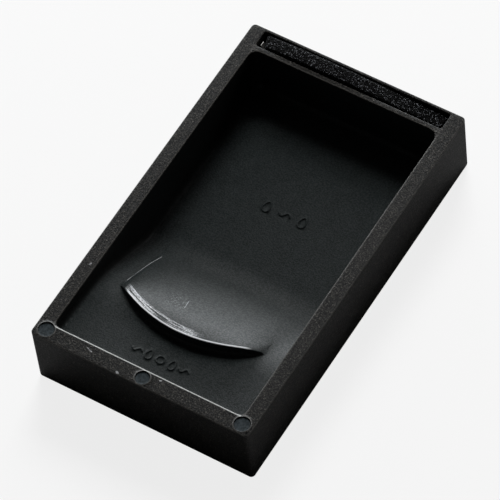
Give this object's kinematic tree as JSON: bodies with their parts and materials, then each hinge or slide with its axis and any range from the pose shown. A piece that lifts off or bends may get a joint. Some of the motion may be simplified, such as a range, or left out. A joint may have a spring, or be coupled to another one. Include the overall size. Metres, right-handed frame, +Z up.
{
  "type": "ink stone",
  "caption": "Double-sided school ink stone, liquid-ink face up: a deep pond, a ramp, a raised tongue with a bowed lip for smoothing a brush, a shallow shelf and an anti-slip strip.",
  "frame": {"origin": "centre of the footprint, on the surface that the stone lies on", "axes": "+X across the stone, +Y along it towards the slot and its anti-slip strip, +Z up out of the liquid-ink face"},
  "size_m": [0.0768, 0.1302, 0.0254],
  "materials": {
    "stone": "dark mineral-filled resin, fine spark-eroded grain, satin on the worked faces",
    "foam_rubber": "matt granular foam rubber",
    "tape": "thin pale double-sided tape, glossy at its bare end"
  },
  "bodies": {
    "root": {"stone_body": "stone", "anti_slip_strip": "foam_rubber", "strip_tape": "tape"}
  },
  "joints": []
}
